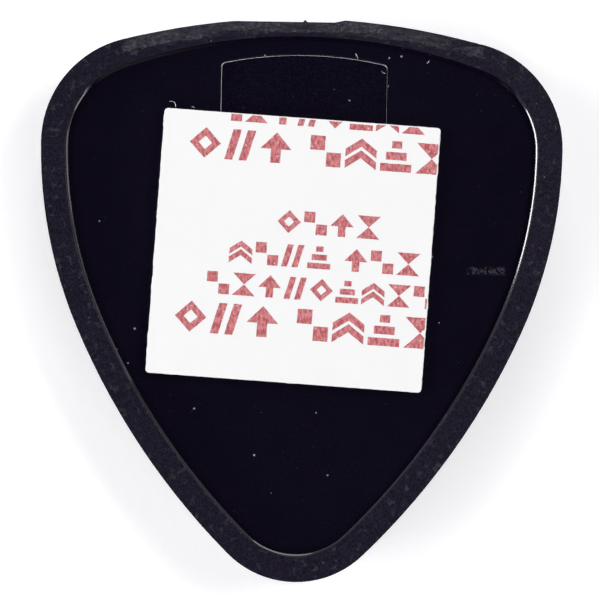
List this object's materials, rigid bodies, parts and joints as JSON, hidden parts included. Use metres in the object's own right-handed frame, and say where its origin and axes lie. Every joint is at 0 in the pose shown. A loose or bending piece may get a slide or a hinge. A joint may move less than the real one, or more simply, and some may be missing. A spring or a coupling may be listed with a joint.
{
  "type": "pick holder",
  "caption": "Flat pick-shaped plastic box that stores guitar picks in a stack, open at its wide end, with a thumb notch, a spring tongue and foam tape on its back.",
  "frame": {"origin": "middle of the front face, on the surface that the holder lies on", "axes": "+Y towards the wide end, where the picks go in and out; +Z out of the taped back; +X completes the right-handed frame"},
  "size_m": [0.0374, 0.0403, 0.0082],
  "materials": {
    "black_plastic": "fine matte mould texture, light scuffs",
    "adhesive_film": "clear tacky acrylic film",
    "white_foam": "closed-cell foam, knife cut",
    "liner_paper": "matte coated paper with a red printed pattern"
  },
  "bodies": {
    "holder": {"front_shell": "black_plastic", "back_plate": "black_plastic", "permanent_adhesive": "adhesive_film", "tape_foam": "white_foam", "removable_adhesive": "adhesive_film"},
    "tongue": {"spring_tongue": "black_plastic"},
    "liner": {"release_liner": "liner_paper"}
  },
  "joints": [
    {"name": "tongue_flex", "type": "hinge", "parent": "holder", "child": "tongue", "pos_m": [0.00011, 0.0123, 0.00685], "axis": [1, 0, 0], "range_deg": [0, 5], "stiffness_Nm_per_rad": 0.3},
    {"name": "liner_peel", "type": "hinge", "parent": "holder", "child": "liner", "pos_m": [-0.00104, -0.0059, 0.0081], "axis": [0.9984, -0.0572, 0], "range_deg": [0, 165]}
  ]
}
